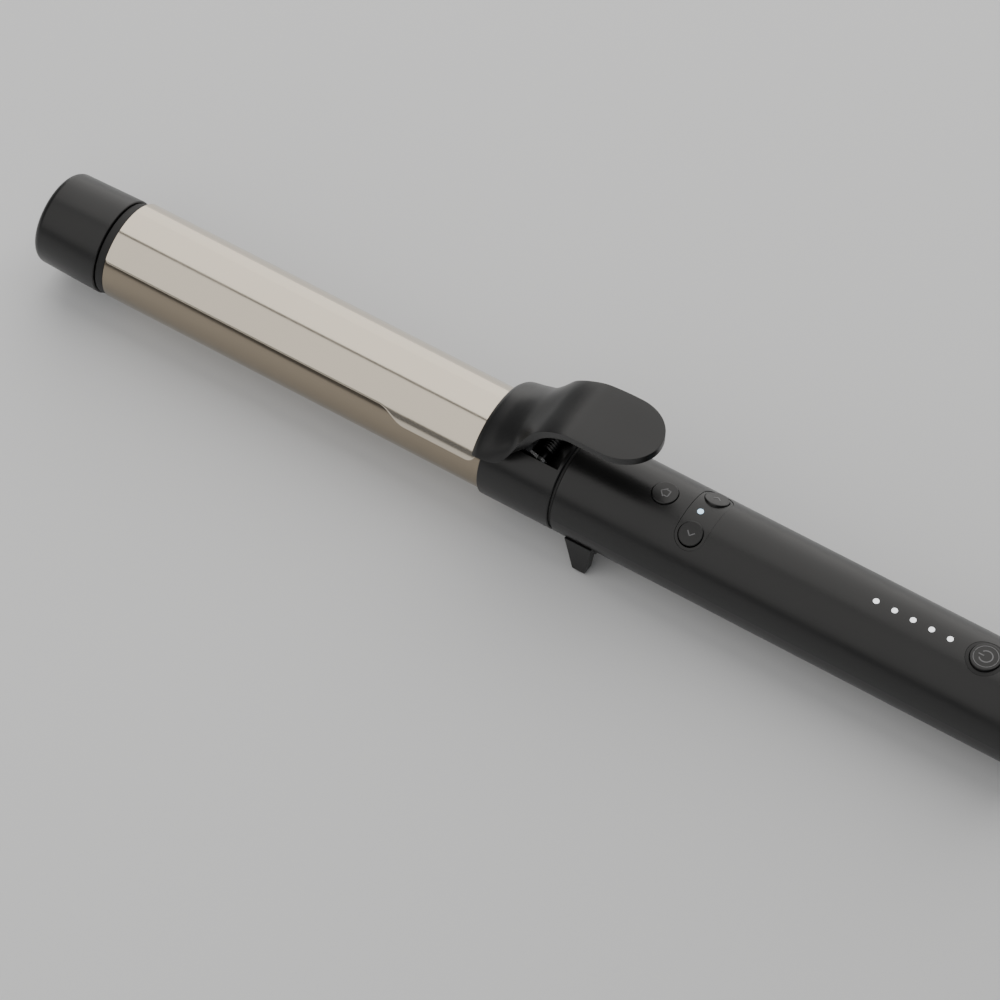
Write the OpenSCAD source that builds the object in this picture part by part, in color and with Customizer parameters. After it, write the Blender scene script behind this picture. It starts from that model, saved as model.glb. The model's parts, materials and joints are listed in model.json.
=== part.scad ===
// Rotating curling iron with a spring clamp, built along the X axis:
// the cool tip is at -X, the cord gland at +X, the thumb lever on top (+Z).
// Stations along X are counted from the seam where the turning head meets the handle.

/* [Head] */
// Outer diameter of the heated barrel
barrel_d = 32; // [25:0.5:40]
// Barrel length in front of the collar
barrel_len = 144.1; // [100:0.1:180]
// Wall of the barrel tube
barrel_wall = 1.2; // [1:0.1:2]
// Length of the turning collar
collar_len = 26.25; // [25.5:0.05:32]
// How far the collar and the handle stand proud of the barrel
collar_lip = 1; // [0.8:0.1:2]
// Length of the neck ring between barrel and cool tip
neck_len = 3; // [2:0.5:5]
// Length of the cool tip
tip_len = 25; // [16:0.1:30]
// Taper of the cool tip, each side, in degrees
tip_taper = 1.5; // [0:0.1:4]

/* [Clamp] */
// Sheet thickness of the clamp plate
clamp_t = 0.9; // [0.7:0.1:1.4]
// Gap between the clamp plate and the barrel
clamp_gap = 0.3; // [0.2:0.05:0.6]
// Half angle that the clamp plate wraps over most of its length
clamp_half = 56; // [45:1:62]
// Half angle that it wraps next to the collar
clamp_wide = 68; // [60:1:75]
// Distance in front of the collar where the plate widens
clamp_step_at = 28; // [20:1:60]
// How far the clamp opens, in degrees
clamp_open = 20; // [10:1:21]
// Height of the hinge pin above the barrel axis
hinge_z = 11; // [10:0.5:12]
// Radius of the hinge pin
pin_r = 1.5; // [1:0.1:2]

/* [Thumb lever] */
// Height of the paddle top above the axis
lever_top = 39.2; // [34:0.1:46]
// Half width of the paddle
lever_half_w = 12.6; // [10:0.1:14]
// How far the paddle reaches past the seam
lever_reach = 28.8; // [20:0.1:34]
// Thickness of the lever's strap
lever_t = 3; // [2.5:0.1:4]
// Height of the saddle over the clamp at its front edge
saddle_h = 4.2; // [3:0.1:5]

/* [Handle] */
// Length of the handle shells
handle_len = 160; // [156:1:200]
// Wall of the handle shells
shell_wall = 2.2; // [1.8:0.1:2.6]
// Width of the seam ring
seam_w = 1; // [0.6:0.1:2]
// Height of the barrel axis over the table
axis_h = 21.25; // [20.5:0.25:26]
// Length of the tail cap
tail_len = 8; // [7:0.5:14]
// How far the cord gland stands out
gland_len = 10; // [6:1:20]
// Radius of the cord inlet
cord_r = 3.6; // [3:0.1:4]

/* [Drive] */
// Outer radius of the hollow spindle
spindle_r = 6; // [5:0.1:7.2]
// Bore radius of the spindle
spindle_bore = 4; // [3:0.1:4.5]
// Gear module
gear_m = 0.5; // [0.45:0.01:0.52]
// Radius of the motor can
motor_r = 8; // [6:0.5:9]
// Length of the motor can
motor_len = 22; // [16:1:26]

/* [Controls] */
// Station of the home button
home_x = 31.4; // [28:0.1:33]
// Station of the arrow button panel
panel_x = 45.5; // [44:0.1:46.5]
// Radius of the home button
home_r = 4.2; // [3.5:0.1:4.6]
// Radius of an arrow button
arrow_r = 4; // [3:0.1:4.2]
// Angle of each arrow button from the top, in degrees
arrow_at = 28; // [26:1:32]
// Station of the first indicator light
light_x = 106.9; // [100:0.1:112]
// Pitch of the indicator lights
light_pitch = 6.5; // [5:0.1:7]
// Station of the power button
power_x = 145.3; // [143:0.1:146]
// Radius of the power button
power_r = 5; // [4:0.1:5.4]
// Button travel
press = 0.5; // [0.3:0.1:0.8]

/* [Hidden] */
$fn = 96;

// Clearances
run = 0.05;       // running fit, on the radius
slip = 0.02;      // pieces fixed in one another
free = 0.3;       // faces that pass each other
cut = 1;          // how far a cutter reaches past a face

// Colours
black = "#1c1c1d";
dark = "#101011";
champagne = "#cdc2b0";
steel = "#b9bcc0";
brass = "#b99a55";
copper = "#b87345";
alloy = "#aeb2b6";
board_green = "#1f5a3c";
cream = "#e8e2d2";
clear = "#e9f2f7";

// Radii of the casing
barrel_r = barrel_d / 2;
barrel_ri = barrel_r - barrel_wall;
body_r = barrel_r + collar_lip;
shell_ri = body_r - shell_wall;

// Stations of the head
collar_back = -(seam_w + run);
collar_front = collar_back - collar_len;
socket_depth = 6;
socket_floor = collar_front + socket_depth;
barrel_front = collar_front - barrel_len;
neck_front = barrel_front - neck_len;
tip_front = neck_front - tip_len;
flange_t = 2;
plug_back = socket_floor - flange_t;
plug_len = 7;
plug_front = plug_back - plug_len;

// Hinge and recess
hinge_x = collar_back - 8.95;
recess_half = 9;
recess_front = hinge_x - 9.5;
recess_back = collar_back - 1.2;
recess_floor = hinge_z - 3.6;
ear_t = 1.1;
ear_out = recess_half - 0.8;
boss_r = 3;
pin_half = sqrt(pow(body_r, 2) - pow(hinge_z + pin_r, 2)) - 0.3;

// Clamp
clamp_ri = barrel_r + clamp_gap;
clamp_ro = clamp_ri + clamp_t;
clamp_front = barrel_front + 0.5;
clamp_back = collar_front - 1.6;
tongue_ri = body_r + free + run;
tongue_ro = tongue_ri + clamp_t;
tongue_back = hinge_x - 3;
tongue_half = 30;
bracket_top = sqrt(pow(tongue_ri, 2) - pow(ear_out, 2)) - run;
bracket_t = 1;
rivet_x = hinge_x - 6.2;
rivet_y = 4;
rivet_r = 1.1;
rivet_top = tongue_ro + 2.6;

// Lever
saddle_front = clamp_back - 1.6;
saddle_back = hinge_x - 1;
saddle_half = 54;
saddle_r = clamp_ro + saddle_h;
strap_start = hinge_x - 9;
strap_z0 = saddle_r + 1.4;
ramp_start = hinge_x - 11;
ramp_end = 3.5;

// Drive train, counted from the seam
bush_front = 3;
bush_len = 8;
bush_t = 3;
clip_x = bush_front + bush_len + 0.3;
clip_t = 0.8;
groove_r = spindle_r - 0.6;
sleeve_x = 13.2;
sleeve_t = 1;
ring_t = 0.6;
ring_w = 3;
ring_pitch = 6.5;
ring_x = 15.4;
ring_count = 4;
sleeve_len = 27;
slip_r = spindle_r + slip + sleeve_t;
ring_r = slip_r + slip + ring_t;
cover_x = 46;
cover_len = 5.2;
rear_bush_t = 2;
box_x = cover_x + cover_len;
spindle_back = box_x + 1.3;
carrier_t = 2;
carrier_back = spindle_back + carrier_t;
gear_x = carrier_back + 0.3;
gear_w = 5;
plate_x = gear_x + gear_w + 0.4;
plate_t = 1.8;
motor_x = plate_x + plate_t;
motor_back = motor_x + motor_len;
cap_t = 3;
shaft_r = 0.75;
screw_bolt = 0.75;

// Gears: the ring is fixed, the carrier turns with the head
sun_teeth = 12;
planet_teeth = 12;
ring_teeth = sun_teeth + 2 * planet_teeth;
planets = 3;
orbit = gear_m * (sun_teeth + planet_teeth) / 2;
pressure = 25;
addendum = 0.8 * gear_m;
dedendum = 1.1 * gear_m;
backlash = 0.12;
planet_pin_r = 1;
ring_pitch_r = gear_m * ring_teeth / 2;
carrier_r = ring_pitch_r - 0.7;
box_r = ring_pitch_r + dedendum + 1.9;

// Boards and controls
board_t = 1.2;
board_z = max(ring_r + 1.7, motor_r + 1.3);
board_top = board_z + board_t;
board_half = sqrt(pow(shell_ri, 2) - pow(board_top, 2)) - 1.3;
front_board_x = 24;
main_board_x = motor_back + cap_t + 6;
main_board_end = handle_len - 6;
button_gap = 0.2;
flange_lip = 0.7;
flange_h = 0.7;
proud = 0.3;
switch_half = 2.5;
panel_half = arrow_r + 1.25;
panel_depth = 0.9;
panel_sink = 0.15;
light_count = 5;
light_r = 1;

// Casing screws
boss_out = 2.9;
boss_y = shell_ri - boss_out + 0.4;
boss_h = 8;
screw_r = 1;
head_r = 1.9;
head_h = 1.6;
screw_seat = -5;
screw_stations = [20, 84, handle_len - 10];

// Tail
spigot_len = 5;
swivel_r = 6;
swivel_flange_r = 9;
swivel_flange_t = 4;
tail_end = handle_len + tail_len;
gland_end = tail_end + gland_len;

// Stand
stand_x0 = 5;
stand_x1 = 14.6;
stand_band = 1.3;
foot_x0 = 8.2;
foot_x1 = 12.9;

// The frame's origin is under the middle of the whole length, on the table
mid_x = (tip_front + gland_end) / 2;
module place() { translate([-mid_x, 0, axis_h]) children(); }

// A cylinder, tube or disc along X between two stations
module rod(x0, x1, r) { translate([x0, 0, 0]) rotate([0, 90, 0]) cylinder(h = x1 - x0, r = r); }
module tube(x0, x1, ro, ri) {
    difference() {
        rod(x0, x1, ro);
        rod(x0 - cut, x1 + cut, ri);
    }
}
// A turned profile of [x, r] points about the X axis, over a half angle each side of the top
module turned(points, half = 180) {
    rotate([0, 90, 0])
        rotate([0, 0, 180 - half])
            rotate_extrude(angle = 2 * half)
                rotate([0, 0, 90]) mirror([0, 1, 0]) polygon(points);
}
// Same as rod(), at a place across the axis
module rod_at(x0, x1, r, y, z) { translate([0, y, z]) rod(x0, x1, r); }
// A peg along the radius at an angle from the top, toward -Y when the angle is positive
module radial(x, at, r0, r1, r) {
    rotate([at, 0, 0]) translate([x, 0, r0]) cylinder(h = r1 - r0, r = r);
}
// A pin along Y through the point (x, z)
module cross(x, z, half, r) { translate([x, half, z]) rotate([90, 0, 0]) cylinder(h = 2 * half, r = r); }
// A side view outline of [x, z] points, as thick as 2 * half across Y
module side(points, half) { translate([0, half, 0]) rotate([90, 0, 0]) linear_extrude(2 * half) polygon(points); }
module box(x0, x1, half, z0, z1) { translate([x0, -half, z0]) cube([x1 - x0, 2 * half, z1 - z0]); }

function smooth(t) = let(u = min(max(t, 0), 1)) u * u * (3 - 2 * u);
function arc(cx, cy, r, a0, a1, n = 8) = [for (i = [0:n]) let(a = a0 + (a1 - a0) * i / n)
    [cx + r * cos(a), cy + r * sin(a)]];

// ---- Involute gears ----
function involute(a) = tan(a) * 180 / PI - a;
function tooth_half(r, teeth, thin) = let(rp = gear_m * teeth / 2, rb = rp * cos(pressure))
    90 / teeth - thin / rp * 90 / PI + involute(pressure) - involute(acos(min(1, rb / max(r, rb))));
function flank(teeth, r0, r1, thin, n = 6) = let(rb = gear_m * teeth / 2 * cos(pressure), s = max(r0, rb))
    [for (i = [0:n]) let(r = s + (r1 - s) * i / n) [r, tooth_half(r, teeth, thin)]];
function gear_points(teeth, r0, r1, thin) = [for (k = [0:teeth - 1]) let(
        c = 360 * k / teeth, f = flank(teeth, r0, r1, thin), n = len(f))
    each concat(
        [r0 * [cos(c - f[0][1]), sin(c - f[0][1])]],
        [for (i = [0:n - 1]) f[i][0] * [cos(c - f[i][1]), sin(c - f[i][1])]],
        [for (i = [n - 1:-1:0]) f[i][0] * [cos(c + f[i][1]), sin(c + f[i][1])]],
        [r0 * [cos(c + f[0][1]), sin(c + f[0][1])]])];

module spur(teeth, width, turn, bore) {
    r = gear_m * teeth / 2;
    rotate([0, 90, 0]) difference() {
        rotate([0, 0, turn]) linear_extrude(width)
            polygon(gear_points(teeth, r - dedendum, r + addendum, backlash));
        translate([0, 0, -cut]) cylinder(h = width + 2 * cut, r = bore);
    }
}

// ---- Head ----
module tip_cap() color(black) place() {
    r0 = barrel_r + 0.4;
    r1 = r0 - tip_len * tan(tip_taper);
    nose = 3;
    wall = 2.4;
    spigot = barrel_ri - 3;
    turned(concat(
        [[neck_front - 0.6, r0], [tip_front + nose, r1]],
        [for (p = arc(tip_front + nose, r1 - nose, nose, 90, 180)) p],
        [[tip_front, 0], [tip_front + wall, 0], [tip_front + wall, r1 - wall - 2],
         [neck_front - 4, r1 - wall - 1], [neck_front - 4, spigot - 2],
         [barrel_front + 2, spigot - 2], [barrel_front + 2, spigot],
         [neck_front, spigot], [neck_front, r0 - 0.6]]));
}

module neck_ring() color(dark) place() {
    tube(neck_front, barrel_front, barrel_r - 0.2, barrel_ri - 3 + slip);
    tube(barrel_front, barrel_front + 5, barrel_ri - slip, barrel_ri - 3 + slip);
}

module barrel() color(champagne) place() tube(barrel_front, socket_floor - 0.2, barrel_r, barrel_ri);

spreader_front = barrel_front + 9;
spreader_back = plug_front - 14;
heater_gap = 1.35;
module heat_spreader_upper() color(alloy) place() difference() {
    intersection() {
        rod(spreader_front, spreader_back, barrel_ri - slip);
        box(spreader_front - cut, spreader_back + cut, barrel_r, heater_gap, barrel_r);
    }
    for (y = [-6, 6]) rod_at(spreader_front - cut, spreader_back + cut, 2.4, y, 6);
}
module heat_spreader_lower() color(alloy) place() difference() {
    intersection() {
        rod(spreader_front, spreader_back, barrel_ri - slip);
        box(spreader_front - cut, spreader_back + cut, barrel_r, -barrel_r, -heater_gap);
    }
    for (y = [-6, 6]) rod_at(spreader_front - cut, spreader_back + cut, 2.4, y, -6);
    rod_at(spreader_back - 12, spreader_back + cut, 1.6, 0, -10);
}
module ptc_heater() color(cream) place() box(spreader_front + 4, spreader_back - 4, 9, -1, 1);
module electrodes() color(copper) place() for (z = [1, -1.3])
    box(spreader_front + 2, spreader_back + 5, 9, z, z + 0.3);
module thermistor() color(cream) place() {
    rod_at(spreader_back - 11.5, spreader_back + 4, 1.5, 0, -10);
}
module thermal_fuse() color(steel) place() {
    rod_at(spreader_back + 2, spreader_back + 11, 1.6, 0, 5);
}
lead_r = 0.7;
module heater_leads() color(cream) place() for (y = [-2.4, 2.4], z = [-1, 1])
    rod_at(spreader_back + 6, sleeve_x + 20, lead_r, y, z);

module barrel_plug() color(cream) place() difference() {
    tube(plug_front, plug_back, barrel_ri - slip, spindle_bore);
    head_screw_holes(plug_front - cut, plug_back + cut, screw_r + slip);
    head_screw_holes(plug_front - cut, plug_front + head_h + 0.1, head_r + 0.1);
}
head_screw_pcd = spindle_r + 2;
head_screw_end = socket_floor + 9;
module head_screw_holes(x0, x1, r) for (a = [60, 180, 300])
    rotate([a, 0, 0]) rod_at(x0, x1, r, 0, head_screw_pcd);
module head_screws() color(steel) place() {
    head_screw_holes(plug_front, plug_front + head_h, head_r);
    head_screw_holes(plug_front + head_h, head_screw_end, screw_r);
}

module collar() color(black) place() difference() {
    turned([[collar_front, 0], [collar_front, body_r - 0.3], [collar_front + 0.3, body_r],
            [collar_back - 0.3, body_r], [collar_back, body_r - 0.3], [collar_back, 0]]);
    rod(collar_front - cut, socket_floor, barrel_r + run);
    rod(collar_front, collar_back + cut, spindle_r + run);
    box(recess_front, recess_back, recess_half, recess_floor, body_r + cut);
    cross(hinge_x, hinge_z, pin_half + 0.1, pin_r + slip);
    head_screw_holes(socket_floor - cut, head_screw_end + 0.5, screw_r + slip);
}

module hinge_pin() color(steel) place() cross(hinge_x, hinge_z, pin_half, pin_r);

// Torsion spring: a helix round the pin with a straight leg at each end
spring_r = pin_r + 1.15;
spring_wire = 0.4;
spring_turns = 7;
spring_leg = 3.6;
spring_foot = 1.8;
spring_half = 3.6;
spring_steps = 20;
spring_rings = spring_turns * spring_steps;
function spring_at(i) = let(a = 200 + 360 * i / spring_steps)
    [hinge_x + spring_r * cos(a), -spring_half + 2 * spring_half * i / spring_rings,
     hinge_z + spring_r * sin(a)];
module torsion_spring() color(steel) place() {
    n = spring_rings;
    path = concat([spring_at(0) + spring_leg * [-sin(20), 0, cos(20)]],
                  [for (i = [0:n]) spring_at(i)],
                  [spring_at(n) + spring_foot * [sin(20), 0, -cos(20)]]);
    sweep(path, spring_wire, 6);
}
// A wire of a given radius along a path
function unit(v) = v / norm(v);
module sweep(path, r, sides) {
    n = len(path);
    rings = [for (i = [0:n - 1]) let(
            t = unit(path[min(i + 1, n - 1)] - path[max(i - 1, 0)]),
            u = unit(cross([0, 1, 0], t)), v = cross(t, u))
        each [for (k = [0:sides - 1]) path[i] + r * (cos(360 * k / sides) * u + sin(360 * k / sides) * v)]];
    faces = concat(
        [[for (k = [sides - 1:-1:0]) k]],
        [for (i = [0:n - 2], k = [0:sides - 1]) let(a = i * sides + k, b = i * sides + (k + 1) % sides)
            each [[a, b, b + sides], [a, b + sides, a + sides]]],
        [[for (k = [0:sides - 1]) (n - 1) * sides + k]]);
    polyhedron(rings, faces);
}

module spindle() color(steel) place() difference() {
    union() {
        rod(plug_back, socket_floor, head_screw_pcd + 2.2);
        rod(socket_floor - cut, spindle_back, spindle_r);
    }
    rod(plug_back - cut, spindle_back + cut, spindle_bore);
    tube(clip_x, clip_x + clip_t, spindle_r + cut, groove_r);
    head_screw_holes(plug_back - cut, socket_floor + cut, screw_r + slip);
}
module spindle_clip() color(steel) place() difference() {
    tube(clip_x + slip, clip_x + clip_t - slip, spindle_r + 2, groove_r + slip);
    box(clip_x - cut, clip_x + clip_t + cut, 2.5, 0, spindle_r + 3);
}
module slip_sleeve() color(dark) place() tube(sleeve_x, sleeve_x + sleeve_len, slip_r, spindle_r + slip);
module slip_rings() color(copper) place() for (k = [0:ring_count - 1])
    tube(ring_x + k * ring_pitch, ring_x + k * ring_pitch + ring_w, ring_r, slip_r + slip);

module on_orbit(k) rotate([360 * k / planets, 0, 0]) translate([0, 0, -orbit]) children();
module planet_carrier() color(steel) place() difference() {
    union() {
        rod(spindle_back, carrier_back, carrier_r);
        rod(spindle_back - 6, spindle_back + 1, spindle_bore - slip);
    }
    for (k = [0:planets - 1]) on_orbit(k) rod(spindle_back + 0.4, carrier_back + cut, planet_pin_r + slip);
}
module planet_pins() color(steel) place() for (k = [0:planets - 1])
    on_orbit(k) rod(spindle_back + 0.4, gear_x + gear_w, planet_pin_r);

// ---- Clamp ----
edge_z = clamp_ro * cos(clamp_half);
wide_z = clamp_ro * cos(clamp_wide);
step_end = collar_front - clamp_step_at;
step_start = step_end - 10;
corner = 2.4;
clamp_edge = concat(
    [[clamp_front, body_r * 2]],
    arc(clamp_front + 1, edge_z + 1, 1, 180, 270, 4),
    [for (i = [0:12]) [step_start + (step_end - step_start) * i / 12,
                       edge_z + (wide_z - edge_z) * smooth(i / 12)]],
    arc(clamp_back - corner, wide_z + corner, corner, -90, 0),
    [[clamp_back, body_r * 2]]);
joggle = 0.6;
module clamp_plate() color(champagne) place() difference() {
    union() {
        intersection() {
            tube(clamp_front, clamp_back, clamp_ro, clamp_ri);
            side(clamp_edge, body_r + cut);
        }
        turned([[clamp_back - 1, clamp_ri + 0.2], [clamp_back + joggle, clamp_ri + 0.2],
                [clamp_back + joggle, tongue_ri], [tongue_back, tongue_ri], [tongue_back, tongue_ro],
                [clamp_back - 1, tongue_ro]], tongue_half);
    }
    rivet_holes(rivet_r + slip);
}
module rivet_holes(r) for (y = [-rivet_y, rivet_y])
    translate([rivet_x, y, bracket_top - bracket_t - cut]) cylinder(h = rivet_top - bracket_top + 3, r = r);

module clamp_bracket() color(steel) place() difference() {
    union() {
        box(recess_front + free, tongue_back, ear_out, bracket_top - bracket_t, bracket_top);
        for (y = [-1, 1]) translate([0, y * (ear_out - ear_t / 2), 0]) {
            side([[recess_front + free, bracket_top], [recess_front + free, bracket_top - 2],
                  [hinge_x - 2.2, hinge_z - 2], [hinge_x + 2.6, hinge_z + 1.5], [tongue_back, bracket_top]],
                 ear_t / 2);
            cross(hinge_x, hinge_z, ear_t / 2, boss_r);
        }
    }
    cross(hinge_x, hinge_z, recess_half, pin_r + run);
    rivet_holes(rivet_r + slip);
}
module clamp_rivets() color(steel) place() for (y = [-rivet_y, rivet_y]) translate([rivet_x, y, 0]) {
    translate([0, 0, bracket_top - bracket_t - 0.7]) cylinder(h = 0.7, r = rivet_r + 0.9);
    translate([0, 0, bracket_top - bracket_t]) cylinder(h = rivet_top - bracket_top + bracket_t, r = rivet_r);
}

// Lever: a saddle over the clamp and a strap that climbs to a level paddle
function strap_z(x) = strap_z0 + (lever_top - strap_z0) * smooth((x - ramp_start) / (ramp_end - ramp_start));
function strap_slope(x) = (strap_z(x + 0.5) - strap_z(x - 0.5));
strap_n = 18;
strap_x = [for (i = [0:strap_n]) strap_start + (lever_reach - strap_start) * i / strap_n];
strap_side = concat(
    [for (x = strap_x) [x, strap_z(x)]],
    [for (i = [strap_n:-1:0]) let(x = strap_x[i])
        [x, strap_z(x) - lever_t * sqrt(1 + pow(strap_slope(x), 2))]]);
lever_plan = concat([[strap_start, -lever_half_w]],
    arc(lever_reach - lever_half_w, 0, lever_half_w, -90, 90, 28), [[strap_start, lever_half_w]]);
module thumb_lever() color(black) place() difference() {
    union() {
        turned([[saddle_front, tongue_ri], [saddle_front, saddle_r - 0.8], [saddle_front + 0.8, saddle_r],
                [strap_start - 1, strap_z0 - 0.9], [saddle_back, strap_z0 - 0.6], [saddle_back, tongue_ri]],
            saddle_half);
        intersection() {
            side(strap_side, lever_half_w + cut);
            translate([0, 0, body_r]) linear_extrude(lever_top) polygon(lever_plan);
        }
    }
    turned([[saddle_front - cut, 10], [saddle_front - cut, tongue_ro + slip],
            [tongue_back + 0.3, tongue_ro + slip], [tongue_back + 0.3, 10]], tongue_half + 1);
    rivet_holes(rivet_r + slip);
}

// ---- Gears that turn on their own ----
module planet(k) color(brass) place() on_orbit(k)
    translate([gear_x, 0, 0]) spur(planet_teeth, gear_w, 180 / planet_teeth, planet_pin_r + run);
module planet_gear_1() planet(0);
module planet_gear_2() planet(1);
module planet_gear_3() planet(2);
module sun_gear() color(brass) place() translate([gear_x, 0, 0]) spur(sun_teeth, gear_w, 0, shaft_r + slip);
module motor_shaft() color(steel) place() rod(gear_x, motor_x + 5, shaft_r);

// ---- Handle ----
module half_shell(up) difference() {
    union() {
        turned([[0, shell_ri], [0, body_r - 0.3], [0.3, body_r], [handle_len, body_r], [handle_len, shell_ri]], 90);
        intersection() {
            rod(0, handle_len, shell_ri + cut);
            union() {
                for (x = [bush_front, bush_front + bush_len - 2])
                    box(x, x + 2, body_r, 0, body_r);
                box(cover_x + 1, cover_x + 3, body_r, 0, boss_h);
                box(motor_back - 4, motor_back - 2, body_r, 0, boss_h);
                for (x = screw_stations, y = [-boss_y, boss_y])
                    translate([x, y, 0]) cylinder(h = boss_h, r = boss_out);
            }
        }
    }
    rod(-cut, bush_front + bush_len + cut, spindle_r + bush_t + slip);
    rod(cover_x - cut, motor_x + 1, box_r + slip);
    rod(motor_x, motor_back + cap_t + 1, motor_r + slip);
}
module button_hole(x, at, r) radial(x, at, 0.5 * shell_ri, body_r + cut, r + button_gap);
module panel_shape(r0, r1, grow) {
    half = panel_half + grow;
    turned([[panel_x - half, r0], [panel_x - half, r1], [panel_x + half, r1], [panel_x + half, r0]], arrow_at);
    for (s = [-1, 1]) intersection() {
        tube(panel_x - half - cut, panel_x + half + cut, r1, r0);
        radial(panel_x, s * arrow_at, 0.5 * r0, r1 + cut, half - slip);
    }
}
module handle_shell_upper() color(black) place() difference() {
    half_shell();
    button_hole(home_x, 0, home_r);
    for (s = [-1, 1]) button_hole(panel_x, s * arrow_at, arrow_r);
    panel_shape(body_r - panel_depth, body_r + cut, 0);
    radial(panel_x - 1.3, 0, shell_ri - cut, body_r + cut, light_r + slip);
    for (k = [0:light_count - 1])
        radial(light_x + k * light_pitch, 0, shell_ri - cut, body_r + cut, light_r + slip);
    button_hole(power_x, 0, power_r);
    radial(power_x, 0, body_r - 1.8, body_r + cut, power_r + 1.4);
    for (x = screw_stations, y = [-boss_y, boss_y])
        translate([x, y, -cut]) cylinder(h = cut + 5.5, r = screw_r + slip);
}
module handle_shell_lower() color(black) place() difference() {
    mirror([0, 0, 1]) half_shell();
    for (x = screw_stations, y = [-boss_y, boss_y]) translate([x, y, 0]) {
        translate([0, 0, screw_seat - cut]) cylinder(h = cut - screw_seat + cut, r = screw_r + slip);
        translate([0, 0, -body_r - cut]) cylinder(h = body_r + cut + screw_seat, r = head_r + 0.15);
    }
}
module shell_screws() color(steel) place() for (x = screw_stations, y = [-boss_y, boss_y]) translate([x, y, 0]) {
    translate([0, 0, screw_seat]) cylinder(h = 5 - screw_seat, r = screw_r);
    difference() {
        translate([0, 0, screw_seat - head_h]) cylinder(h = head_h, r = head_r);
        for (a = [0, 90]) rotate([0, 0, a])
            translate([-1.3, -0.25, screw_seat - head_h - cut]) cube([2.6, 0.5, cut + 0.8]);
    }
}
module seam_ring() color(dark) place() tube(-seam_w, 0, body_r - 0.8, spindle_r + bush_t + 1);
module front_bush() color(brass) place()
    tube(bush_front, bush_front + bush_len, spindle_r + bush_t, spindle_r + run);
module rear_bush() color(brass) place() tube(cover_x, box_x, spindle_r + rear_bush_t, spindle_r + run);
module gearbox_cover() color(dark) place() tube(cover_x, box_x, box_r, spindle_r + rear_bush_t + slip);
module gearbox_housing() color(dark) place() difference() {
    rod(box_x, motor_x, box_r);
    rod(box_x - cut, gear_x - 0.15, carrier_r + 0.6);
    translate([gear_x - 0.2, 0, 0]) rotate([0, 90, 0]) rotate([0, 0, 180 / ring_teeth])
        linear_extrude(plate_x - gear_x + 0.2)
            polygon(gear_points(ring_teeth, ring_pitch_r - addendum, ring_pitch_r + dedendum, -backlash));
    rod(plate_x - cut, motor_x + cut, 1.6);
    for (y = [-5, 5]) {
        rod_at(plate_x - cut, motor_x + cut, screw_bolt + slip, y, 0);
        rod_at(plate_x - cut, plate_x + 0.9, 1.5, y, 0);
    }
}
module motor_can() color(steel) place() difference() {
    rod(motor_x, motor_back, motor_r);
    rod(motor_x - cut, motor_x + 5.5, shaft_r + run);
    for (y = [-5, 5]) rod_at(motor_x - cut, motor_x + 3.2, screw_bolt + slip, y, 0);
}
module motor_end_cap() color(dark) place() {
    rod(motor_back, motor_back + cap_t, motor_r - 0.4);
    for (y = [-3, 3]) box_at(motor_back + cap_t, motor_back + cap_t + 3.5, y, 0.8, -0.3, 0.3);
}
module box_at(x0, x1, y, half, z0, z1) translate([0, y, 0]) box(x0, x1, half, z0, z1);
module motor_screws() color(steel) place() for (y = [-5, 5]) {
    rod_at(plate_x + 0.1, plate_x + 0.9, 1.4, y, 0);
    rod_at(plate_x + 0.9, motor_x + 3, screw_bolt, y, 0);
}

brush_w = 2.4;
holder_half = 4.6;
holder_z = -sqrt(pow(shell_ri, 2) - pow(holder_half, 2)) + 0.1;
module brush_holder() color(dark) place() difference() {
    box(ring_x - 1.6, ring_x + (ring_count - 1) * ring_pitch + ring_w + 1.6, holder_half,
        holder_z, -ring_r - 0.9);
    for (k = [0:ring_count - 1]) translate([ring_x + k * ring_pitch + ring_w / 2, 0, holder_z + 1])
        translate([-brush_w / 2 - slip, -brush_w / 2 - slip, 0])
            cube([brush_w + 2 * slip, brush_w + 2 * slip, body_r]);
}
module brushes() color("#3a3a3c") place() for (k = [0:ring_count - 1])
    translate([ring_x + k * ring_pitch + ring_w / 2 - brush_w / 2, -brush_w / 2, holder_z + 1])
        cube([brush_w, brush_w, -ring_r - run - holder_z - 1]);

// Boards, switches and lights
neck_half = 2.7;
module front_board() color(board_green) place() difference() {
    box(front_board_x, cover_x - 0.5, board_half, board_z, board_top);
    for (s = [-1, 1]) translate([panel_x - 5, s > 0 ? neck_half : -board_half - cut, board_z - cut])
        cube([20, board_half - neck_half + cut, board_t + 2 * cut]);
}
module main_board() color(board_green) place() difference() {
    box(main_board_x, main_board_end, board_half, board_z, board_top);
    for (x = [main_board_x + 3, main_board_end - 3])
        translate([x, 0, board_z - cut]) cylinder(h = board_t + 2 * cut, r = 1.2);
}
module board_parts() color("#2b4d8f") place() {
    translate([main_board_x + 12, 0, board_z - 7]) cylinder(h = 7, r = 5);
    box_at(main_board_x + 22, main_board_x + 34, 2, 5, board_z - 6, board_z);
    box_at(main_board_x + 38, main_board_x + 46, -3, 3, board_z - 3, board_z);
}
function flange_top(r) = sqrt(pow(shell_ri, 2) - pow(r + flange_lip, 2)) - free;
function button_foot(r) = flange_top(r) - flange_h;
function switch_top(r) = button_foot(r) - press - 0.1;
carrier_seat = switch_top(arrow_r) - 1.2;
carrier_half = (carrier_seat - board_z * cos(arrow_at)) / sin(arrow_at) - 0.2;
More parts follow.
